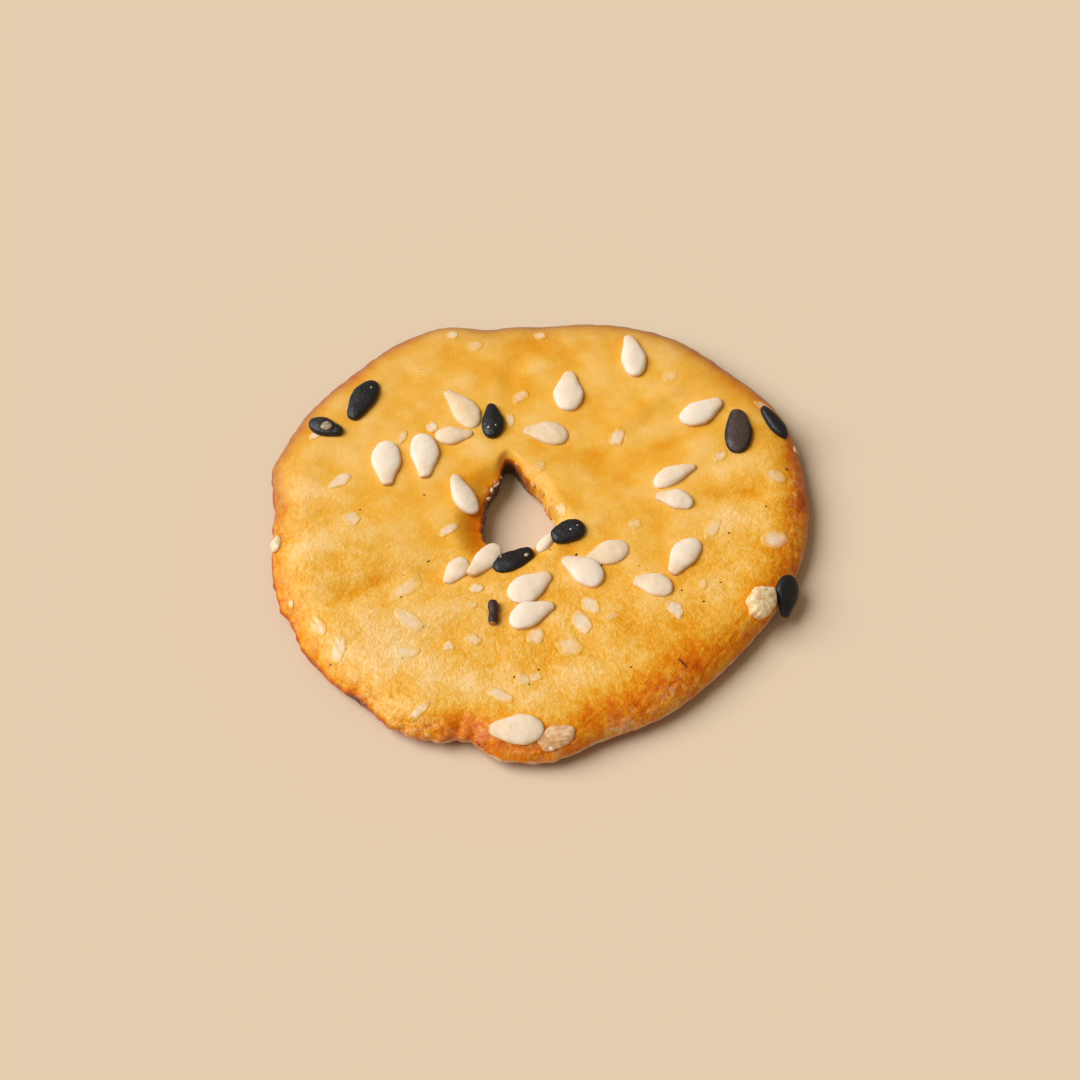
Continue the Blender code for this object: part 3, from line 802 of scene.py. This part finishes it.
print("a flake has", len(flake_body(2, 1, 0.2, np.random.default_rng(1))[1]), "triangles and a lump",
      len(lump_body(1, 1, 1, np.random.default_rng(1))[1]))

# %% [markdown]
# ## Laying them on the dough
#
# A seed or a crumb is stiff: it lies in the plane that touches the dough under it, and sinks in a
# little. A flake of salt melted onto the glaze, so each of its points takes the dough's own height.

# %% Two ways to lay a body
SEAT = 0.7
# Seeds that bridge the lip lie flatter than the dough: x, y, heading, half-length, half-width, how much.
BRIDGES = (
    (-2, -3.4, 0, 1.5, 1.2, 0.75), (2.2, -0.9, 0, 1.3, 1.2, 0.5),
    (-5.95, 2.6, 0, 0.8, 0.8, 0.5), (-4.4, -3.3, 0, 0.7, 0.7, 0.4),
)


def surface_frame(x, y, heading):
    """Rows X to the heading, Y to its left, Z out of the dough, and the touching plane's point.

    The plane touches SEAT or more in from the rim and out from the hole, where the dough isn't steep.
    """
    from_rim, from_hole, _, _ = edge_distances(x, y)
    ground = np.array([x, y]) * (1 + min(0, float(from_rim) - SEAT) / math.hypot(x, y))
    away = ground - HOLE_CENTRE
    east, north = HOLE_CENTRE + away * (1 + max(0, SEAT - float(from_hole)) / np.hypot(*away))
    level, step = float(top_height(east, north)), 0.05
    rise = (np.array([top_height(east + step, north), top_height(east, north + step)]) - level) / step
    rise = rise * (1 - float(patches(BRIDGES, x, y)))
    up = np.array([-rise[0], -rise[1], 1])
    up /= np.linalg.norm(up)
    turn = math.radians(heading)
    side = np.cross(up, [math.cos(turn), math.sin(turn), 0])
    side /= np.linalg.norm(side)
    origin = np.array([x, y, level + rise @ [x - east, y - north]])
    return np.array([np.cross(side, up), side, up]), origin


def stiff(points, x, y, heading, lift):
    """Body in the touching plane, with its middle `lift` above it."""
    axes, origin = surface_frame(x, y, heading)
    return (points + [0, 0, lift]) @ axes + origin


def draped(points, x, y, heading, lift):
    """Body whose every point takes the dough's height, with its middle `lift` above it."""
    turn = math.radians(heading)
    east = x + points[:, 0] * math.cos(turn) - points[:, 1] * math.sin(turn)
    north = y + points[:, 0] * math.sin(turn) + points[:, 1] * math.cos(turn)
    ground = top_height(east, north) + relief(east, north)
    return np.stack([east, north, ground + points[:, 2] + lift], -1)


def scatter(name, rows, body, way, thickness, proud, seed, sinks=0, **shape):
    """One piece from rows of x, y, heading, length, width, tint and what else the body takes of its own.

    Each body stands proud of the dough by proud * (1 - sinks * tint).
    """
    draw = np.random.default_rng(seed)
    parts, start = [], 0
    for x, y, heading, length, width, tint, *own in rows:
        local, sewn, along, side = body(length, width, thickness, draw, *own, **shape)
        laid = way(local, x, y, heading, proud * (1 - sinks * tint) - thickness / 2)
        parts.append((laid, sewn + start, along, side, np.full(len(laid), tint)))
        start += len(laid)
    points, triangles, along, side, tint = (np.concatenate(part) for part in zip(*parts))
    tone = dough_tone(points[:, 0], points[:, 1])
    return make_piece(name, points, triangles, {"along": along, "side": side, "tint": tint, "tone": tone})


axes, origin = surface_frame(7.45, 15.7, 98)
print(f"the far white seed lies {math.degrees(math.acos(axes[2, 2])):.1f} degrees off level")

# %% [markdown]
# ## Sesame
#
# Each row was read off the photo: x, y, the heading of the pointed end, length, width, how browned it is
# and, for the black ones, how much its tip narrows. Two of the white seeds broke, and of one black seed
# only a sliver of hull is left.

# %% White and black seeds
WHITE_SEEDS = (
    (7.45, 15.7, 98, 4, 2, 0.1), (2.3, 12.3, 88, 3.8, 2.4, 0.2), (-6.1, 10.7, 125, 4.3, 2.2, 0.9),
    (-6.7, 8.1, 5, 3, 1.7, 0.8), (-11.95, 5.4, -88, 4.1, 2.35, 0.05), (-9, 6.1, -85, 4.1, 2.3, 0),
    (-5.95, 2.6, 118, 3.7, 1.8, 0.1), (0.5, 8.4, 170, 3.6, 2.2, 0.9), (12.8, 10.3, 31, 3.8, 2.1, 0),
    (10.5, 4.4, 29, 3.7, 1.7, 0.5), (10.45, 2.15, 166, 3, 1.8, 0.4), (-6.4, -4.3, -122, 2.7, 1.8, 0.7),
    (-4.2, -3.3, -124, 3.9, 1.9, 0.5), (0.58, -1.55, 56, 2.3, 1.15, 0.4), (5.2, -2.8, -157, 3.5, 2.2, 0.8),
    (3.3, -4.3, 142, 3.7, 2.4, 0.2), (-0.7, -5.8, 34, 3.8, 2.4, 0.2), (-0.6, -8.2, 28, 3.7, 2.2, 0.1),
    (11, -3.1, -123, 3.7, 2.1, 0.3), (8.65, -5.6, 162, 3.1, 2.1, 0.6), (-1.7, -18, 180, 4.1, 2.4, 0.6),
)
BLACK_SEEDS = (
    (-14, 11.4, -116, 4, 2, 0.2, 0.24), (-16.8, 8.8, -24, 2.9, 1.6, 0.4, 0.3),
    (-3.7, 9.4, 92, 3.2, 1.8, 0.1, 0.4), (15.6, 8.4, 87, 4, 2.2, 0.8, 0.25),
    (18.45, 9.5, 125, 3.3, 1.3, 0, 0.25), (2.2, -0.9, 205, 2.75, 1.95, 0.2, 0.15),
    (-2, -3.35, 30, 3.45, 1.8, 0.2, 0.12), (18.8, -5.95, -89, 3.4, 2, 0.2, 0.48),
)
# Name, rows, body, way of lying, thickness, how proud it stands, seed of its random draws.
white = scatter("white_sesame", WHITE_SEEDS, seed_body, stiff, 0.9, 0.58, 61, sinks=0.4)
black = scatter("black_sesame", BLACK_SEEDS, seed_body, stiff, 0.9, 0.6, 62, dents=0.014)
sliver = scatter("hull_sliver", ((-3.5, -8.2, 90, 2, 0.8, 0.5),), seed_body, stiff, 0.8, 0.62, 63,
                 point=0, power=0.24, waist=0.2)

# %% Seed coats
hull = Shader("white_seed", IOR=1.45, Specular_IOR_Level=0.3,
              Subsurface_Weight=0.25, Subsurface_Scale=0.5 * MM, Subsurface_Radius=(1, 0.7, 0.45))
cloud = hull.noise(0.9, 3, 0.5)
fine = hull.noise(0.16, 2)
# Edges of the seed are painted darker: painted shade where the seed meets the dough.
painted_edge_shade = hull.attribute("side").within(0.8, 1)
shade = hull.attribute("tint") * 0.7 + (cloud - 0.5) * 0.6 + (fine - 0.5) * 0.45 + painted_edge_shade * 0.25
hull_colour = hull.ramp(shade, (
    (0, (248, 228, 204)), (0.4, (245, 220, 190)), (0.75, (239, 206, 160)), (1, (230, 190, 136))))
tip, very_tip = hull.attribute("along").within(0.1, 1), hull.attribute("along").within(0.88, 1)
# The tan at the tip is the seed's own colour; the amber at the edges is painted shade and warm glow from the
# dough.
edge = hull.attribute("side").within(0.92, 1)
hull_colour = hull.mix(tip * 0.4 + edge * 0.3, hull_colour, (234, 184, 118))
hull.paint(
    white,
    Base_Color=hull.mix(very_tip * 0.6, hull_colour, (200, 140, 84)),
    Roughness=0.38 + cloud * 0.12,
    Normal=hull.bump(fine * 0.8 + hull.noise(0.45, 3, 0.6), 0.35, 0.05),
)
coat = Shader("black_seed", IOR=1.5, Specular_IOR_Level=0.4, Coat_Weight=0.1, Coat_Roughness=0.16)
pits = coat.noise(0.13, 2)
face = 1 - coat.attribute("side").within(0.7, 0.9)
coat_colour = coat.ramp(coat.attribute("tint") * (face * 0.45 + 0.1) + (pits - 0.5) * 0.4 + 0.1, (
    (0, (14, 14, 18)), (0.3, (30, 26, 26)), (0.6, (78, 60, 50)), (0.9, (132, 108, 90))))
coat.paint(
    black,
    Base_Color=coat_colour,
    Roughness=0.36 + pits * 0.2,
    Normal=coat.bump(pits + coat.noise(0.3, 2, 0.6) * 1.6, 0.6, 0.06),
)
bark = Shader("brown_hull", (3, 0.6, 1), IOR=1.45)
bark_grain = bark.noise(0.3)
bark_tip = bark.attribute("along").within(-0.9, -0.98)
bark_colour = bark.ramp(bark_grain, ((0.3, (36, 20, 20)), (0.7, (74, 44, 36))))
bark.paint(
    sliver,
    Base_Color=bark.mix(bark_tip, bark_colour, (184, 136, 88)),
    Roughness=0.45 + bark_grain * 0.1,
    Normal=bark.bump(bark_grain, 0.5, 0.06),
)

# %% [markdown]
# ## Salt, garlic and what else fell on the dough
#
# Salt flakes melted onto the glaze and left pale, nearly flat scales. A few grains kept their facets.
# One crumb of dried garlic sits on the right rim, and a flake of seed husk at the front. The dark specks
# are no wider than a hair.

# %% Flakes and grains
SALT_FLAKES = (
    (-6.95, 18, 179, 1.1, 1.1, 0.6), (0.04, 17.9, 180, 1.1, 0.9, 0.8), (10.4, 13.8, 143, 1.3, 1.4, 0.2),
    (-2.3, 9.65, 100, 1.4, 0.8, 0.5), (6.1, 7.9, 69, 1.8, 1.3, 0.8), (-0.04, 5.3, -164, 1.3, 1.25, 0.25),
    (1.6, 1.4, 153, 1.2, 1.3, 0.2), (-15.5, 3.9, 40, 2.2, 1.2, 0.9), (-14.5, 0.46, 20, 1.5, 1.6, 0.6),
    (-7, -0.6, 39, 1.75, 1, 0.8), (-4.8, -5.9, -168, 1.25, 0.9, 0.8), (-10.2, -5.8, 43, 3.4, 1.8, 0.4),
    (-9.9, -8.7, 137, 3, 1.5, 0.5), (-15.1, -11.1, 76, 2.5, 1.2, 0.5), (-16.7, -9.1, 122, 2, 1.3, 0.3),
    (-10, -11.5, 172, 2.2, 1.3, 0.4), (-6.8, -10.9, 0, 0.9, 1.1, 0.6), (-5, -10.4, 152, 1.5, 1.2, 0.5),
    (-0.3, -10.1, -156, 1.5, 1.4, 0.7), (3.9, -7.4, 132, 1.9, 1.3, 0.8), (3.2, -9, 123, 2.3, 1.4, 1),
    (2.25, -11, 158, 2.3, 1.8, 0.4), (-1.3, -13.8, 155, 1.4, 1.2, 0.4), (-0.3, -13.6, 20, 1.2, 0.9, 0.3),
    (-2.9, -15.2, 153, 2.3, 1.1, 0.6), (-8.9, -16.4, 42, 2.3, 0.8, 0.55), (10.3, -7.8, 130, 1.8, 1.2, 1),
    (12.4, -5.5, 0, 1, 1.2, 0.25), (18.1, -1.4, 20, 2.4, 1.7, 0.7), (13.3, -0.6, 62, 2.6, 1.1, 0.4),
    (18.4, 4.4, 166, 2, 1.6, 0.4), (-8.45, 8.9, 0, 1, 1.1, 0.9), (-18.9, -6.9, 96, 1, 0.5, 0.4),
    (-5.2, 16.8, 0, 1.5, 1.4, 0.3), (-10.8, 7.9, 66, 1.6, 0.8, 0.45), (-17.7, 8.16, 20, 1, 0.8, 0.6),
    (-1.5, 11.9, 30, 1.7, 1.2, 0.4), (14.1, 6.2, 30, 1.6, 1.1, 0.3), (7.35, 0, 80, 1.3, 1.2, 0.2),
    (5.47, -8.4, 20, 1.4, 0.9, 0.2), (-5.11, -7.35, 10, 1.1, 0.8, 0.2), (17.75, 11.2, -33, 2, 0.9, 0.6),
)
GRAINS = ((-20.3, -1.45, 87, 1.4, 1, 0.6), (0.9, -19.3, 0, 0.5, 0.35, 0.3))
SEED_GLINTS = (
    (-0.97, -3.2, 20, 0.34, 0.18, 0.5), (-2.95, -3.35, 0, 0.16, 0.14, 0.5), (1.3, -0.95, 0, 0.2, 0.18, 0.5),
    (2.4, -0.95, 0, 0.22, 0.18, 0.5), (2.9, -0.6, 0, 0.2, 0.18, 0.5), (-4, 8.55, 0, 0.22, 0.22, 0.5),
    (-3.45, 8.75, 0, 0.18, 0.2, 0.5), (-13.3, 12.3, 60, 0.22, 0.12, 0.5),
)
CRUMBS = (
    (-3.45, 4.1, 60, 0.75, 0.5, 1), (-3.75, 3.55, 80, 0.5, 0.4, 0.9), (-3.95, 2.85, 40, 0.4, 0.3, 0.6),
    (-3, 4.75, 30, 0.35, 0.3, 0.7), (-1.75, 5.75, 0, 0.6, 0.45, 0), (-1.1, 4.95, 60, 0.65, 0.45, 0.2),
    (-0.5, 3.95, -60, 0.5, 0.4, 0.3), (0.25, 2.9, -50, 0.4, 0.32, 0), (0.95, 2.25, -50, 0.45, 0.3, 0.1),
)
HUSKS = ((1.2, -18.6, 24, 3.2, 1.5, 0.6), (20.2, 7.5, 80, 0.9, 0.5, 0))
SPECKS = tuple((x, y, turn, length, 0.11, 0.5) for x, y, turn, length in (
    (-9.43, 14.41, 0, 0.25), (-8.95, 2.57, 0, 0.16), (-8.52, -3.43, 35, 0.34), (-8.78, -9.32, 60, 0.28),
    (7.63, -3.93, 0, 0.18), (4.69, -3.88, 0, 0.3), (14.56, -0.91, 0, 0.18), (13.76, -5.4, 0, 0.16),
    (12.44, -7.08, 0, 0.18), (10.82, -6.11, 0, 0.16), (10.74, -12.36, -46, 0.8), (6.84, -12.83, 0, 0.16),
    (-1.87, -13.64, 50, 0.34), (-0.78, -14.28, 0, 0.2), (-0.08, -13, 0, 0.16), (0.8, -2.37, 0, 0.2),
    (2.79, -2.89, 60, 0.28), (-10.4, -4.6, 0, 0.16), (-10.5, -6.7, 0, 0.16), (-15.7, -12.2, 30, 0.16),
    (-10.3, -12, 0, 0.18), (19.3, 5.1, -50, 0.34), (17.5, 1.5, -40, 0.26), (-13.9, 1.3, 0, 0.14),
))
flakes = scatter("salt_flakes", SALT_FLAKES, flake_body, draped, 0.2, 0.028, 71, sinks=-1.5)
grains = scatter("salt_grains", GRAINS, lump_body, stiff, 0.6, 0.3, 72, roughness=0.02)
seed_salt = scatter("seed_salt", ((-16.68, 8.6, 0, 0.9, 0.8, 0.5),), lump_body, stiff, 0.45, 0.88, 73,
                    roughness=0.03)
seed_glints = scatter("seed_glints", SEED_GLINTS, lump_body, stiff, 0.3, 0.64, 77)
crumbs = scatter("hole_crumbs", CRUMBS, lump_body, stiff, 0.3, 0.02, 78)
garlic = scatter("garlic_crumb", ((16.8, -6.9, 80, 2.75, 2.2, 0.5),), flake_body, stiff, 1.5, 1, 74,
                 crumbly=0.035, dents=0.008, steps=24, sides=72)
husk = scatter("seed_husk", HUSKS, flake_body, draped, 0.3, 0.22, 75)
specks = scatter("dark_specks", SPECKS, lump_body, stiff, 0.12, 0.05, 76)

# %% Finishes of the salt
salt = Shader("salt_scale", IOR=1.5, Specular_IOR_Level=0.4, Subsurface_Weight=0.2, Subsurface_Scale=0.4 * MM,
              Subsurface_Radius=(1, 0.6, 0.35), Coat_Weight=0.1, Coat_Roughness=0.25)
cloud = salt.noise(0.6, 2, 0.4)
below = salt.ramp((salt.attribute("tone") + (cloud - 0.5) * 0.1) / TONE_SPAN, CRUST_STOPS)
rim_share = salt.attribute("along").within(0.4, 1)
pale = salt.attribute("tint") * 0.65 + 0.17 - rim_share * 0.6 + (cloud - 0.5) * 0.9
salt.paint(
    flakes,
    Base_Color=salt.mix(pale.within(-0.1, 0.95), below, (248, 217, 186)),
    Roughness=0.34 + cloud * 0.1,
    Normal=salt.bump(cloud, 0.15, 0.05),
)


def grain_finish(name, pieces, dark, light, **constants):
    """Material for grains: noise 0.4 mm wide between two screen colours."""
    made = Shader(name, **constants)
    colour = made.ramp(made.noise(0.4), ((0.3, dark), (0.7, light)))
    for piece in pieces:
        made.paint(piece, Base_Color=colour)


grain_finish("salt_crystal", (grains, seed_glints), (232, 196, 148), (246, 222, 188), IOR=1.54,
             Roughness=0.25, Subsurface_Weight=0.3, Subsurface_Scale=0.4 * MM,
             Subsurface_Radius=(1, 0.8, 0.6))
grain_finish("dusky_salt", (seed_salt,), (140, 120, 100), (204, 178, 150), IOR=1.5, Roughness=0.3)

# %% Finishes of the garlic, crumbs, husk and specks
clove = Shader("dried_garlic", IOR=1.45, Subsurface_Weight=0.2, Subsurface_Scale=0.4 * MM,
               Subsurface_Radius=(1, 0.7, 0.4))
crumble = clove.noise(0.5, 4, 0.6)
chinks = clove.cells(clove.bent(0.5, 0.5), 0.55).within(0, 0.16)
clove.paint(
    garlic,
    Base_Color=clove.ramp(crumble + chinks * 0.12 - 0.1,
                          ((0.25, (206, 156, 96)), (0.42, (238, 203, 148)), (0.65, (248, 226, 184)))),
    Roughness=0.55 + crumble * 0.15,
    Normal=clove.bump(crumble * 1.5 + chinks * 0.5 + clove.noise(0.12, 2) * 0.4, 0.4, 0.06),
)
crumb = Shader("dough_crumb", Roughness=0.5)
crumb_shade = crumb.noise(0.5) * 0.5 + crumb.attribute("tint") * 0.5
crumb.paint(crumbs, Base_Color=crumb.ramp(
    crumb_shade, ((0.2, (214, 138, 52)), (0.45, (238, 180, 104)), (0.7, (236, 208, 172)))))
skin = Shader("tan_husk", (0.7, 1.3, 1), IOR=1.45, Coat_Weight=0.2, Coat_Roughness=0.3)
folds = skin.noise(0.6, 2, 0.8)
skin.paint(
    husk,
    Base_Color=skin.ramp(folds, ((0.3, (200, 138, 84)), (0.5, (230, 176, 120)), (0.7, (250, 216, 172)))),
    Roughness=0.4 + folds * 0.1,
    Normal=skin.bump(folds, 0.4, 0.08),
)
soot = Shader("dark_speck", Roughness=0.6)
soot.paint(specks, Base_Color=linear((58, 34, 20)))

# %% [markdown]
# ## Handing the pieces over, and the picture
#
# Every piece rides with the cracker's one solid and stands in for it. The light is one broad soft source
# from the upper left, a little behind, over an even room: it throws the soft shadow in front and on the
# right. The camera looks down at 58 degrees with a long lens.

# %% Ride and replace
pieces = (dough, white, black, sliver, flakes, grains, seed_salt, seed_glints, crumbs, garlic, husk, specks)
for piece in pieces:
    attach(piece, "root")
    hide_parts("cracker")
print(len(pieces), "pieces stand in for the one solid")

# %% Floor, light and camera
FLOOR_REACH = 600
corners = FLOOR_REACH * np.array([(-1, -1, 0), (1, -1, 0), (1, 1, 0), (-1, 1, 0)])
floor = make_piece("floor", corners, np.array([[0, 1, 2, 3]]))
paper = Shader("pale_floor", Roughness=0.95, Specular_IOR_Level=0.1)
paper.paint(floor, Base_Color=linear((229, 206, 175)))
floor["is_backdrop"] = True

sun = bpy.data.lights.new("soft_key", "SUN")
sun.energy, sun.angle = 3.18, math.radians(50)
sun.color = (1, 1.05, 1.12)
key = add_object("soft_key", sun)
key.rotation_euler = Vector((-0.85, 0.06, 0.9)).to_track_quat("Z", "Y").to_euler()
room = bpy.data.worlds.new("room")
room.use_nodes = True
background = room.node_tree.nodes["Background"].inputs
background["Color"].default_value, background["Strength"].default_value = (1, 0.84, 0.64, 1), 0.26
bpy.context.scene.world = room

ELEVATION, DISTANCE, TARGET = math.radians(58), 233.8 * MM, np.array([0.0358, 0.2148, 0]) * MM
lens = bpy.data.cameras.new("camera")
lens.lens, lens.sensor_width, lens.clip_start = 100, 36, 0.005
camera = add_object("camera", lens)
camera.location = TARGET + DISTANCE * np.array([0, -math.cos(ELEVATION), math.sin(ELEVATION)])
camera.rotation_euler = (math.pi / 2 - ELEVATION, 0, 0)
bpy.context.scene.camera = camera
bpy.context.scene.view_settings.view_transform = "Standard"

# %% The box of what shows, beside the solid's box
shown_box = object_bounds()
for label, box in (("cad", cad_box), ("visual", shown_box)):
    corners = [[float(v) for v in corner] for corner in box]
    print(label, [[round(v / MM, 2) for v in corner] for corner in corners])
